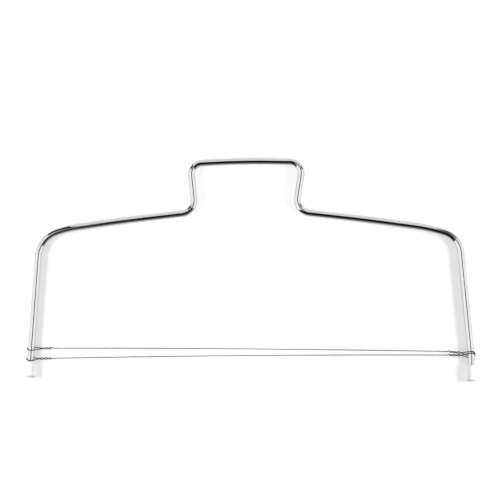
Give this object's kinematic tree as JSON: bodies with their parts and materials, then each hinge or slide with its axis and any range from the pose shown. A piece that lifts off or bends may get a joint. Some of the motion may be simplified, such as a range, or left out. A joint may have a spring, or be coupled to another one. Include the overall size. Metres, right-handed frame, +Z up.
{
  "type": "cake leveler",
  "caption": "Bow-shaped bent rod frame with a raised handle, capped splayed legs and thin cutting wires strung between them, looped and twisted round each leg.",
  "frame": {"origin": "centre of the outline, on the table it lies on", "axes": "+X from the left leg to the right one, +Y from the leg tips toward the handle, +Z up out of the table"},
  "size_m": [0.3254, 0.1621, 0.0072],
  "materials": {
    "rod": "polished stainless steel",
    "wire": "drawn stainless wire",
    "cap": "satin moulded plastic, slightly milky"
  },
  "bodies": {
    "frame": {"frame_rod": "rod", "left_foot_cap": "cap", "right_foot_cap": "cap"},
    "lower_wire_left_end": {"lower_wire_left_eye": "wire", "lower_wire_strand": "wire"},
    "lower_wire_right_end": {"lower_wire_right_eye": "wire"},
    "upper_wire_left_end": {"upper_wire_left_eye": "wire"},
    "upper_wire_middle": {"upper_wire_strand": "wire"},
    "upper_wire_right_end": {"upper_wire_right_eye": "wire"}
  },
  "joints": [
    {"name": "lower_wire_height", "type": "slide", "parent": "frame", "child": "lower_wire_left_end", "axis": [0.0645, 0.9979, 0], "range_m": [0, 0.03]},
    {"name": "lower_wire_right_end_shift", "type": "slide", "parent": "lower_wire_left_end", "child": "lower_wire_right_end", "axis": [-1, 0, 0], "range_m": [0, 0.00462], "deforming": ["lower_wire_strand"]},
    {"name": "upper_wire_spacing", "type": "slide", "parent": "lower_wire_left_end", "child": "upper_wire_left_end", "axis": [0.0645, 0.9979, 0], "range_m": [0, 0.03]},
    {"name": "upper_wire_middle_shift", "type": "slide", "parent": "upper_wire_left_end", "child": "upper_wire_middle", "axis": [-1, 0, 0], "range_m": [0, 0.00462], "deforming": ["upper_wire_strand"]},
    {"name": "upper_wire_right_end_shift", "type": "slide", "parent": "upper_wire_middle", "child": "upper_wire_right_end", "axis": [-1, 0, 0], "range_m": [0, 0.00462], "deforming": ["upper_wire_strand"]}
  ],
  "couplings": [
    {"joint": "lower_wire_right_end_shift", "follows": "lower_wire_height", "ratio": 0.15359},
    {"joint": "upper_wire_middle_shift", "follows": "lower_wire_height", "ratio": 0.15359},
    {"joint": "upper_wire_right_end_shift", "follows": "upper_wire_spacing", "ratio": 0.15359}
  ]
}
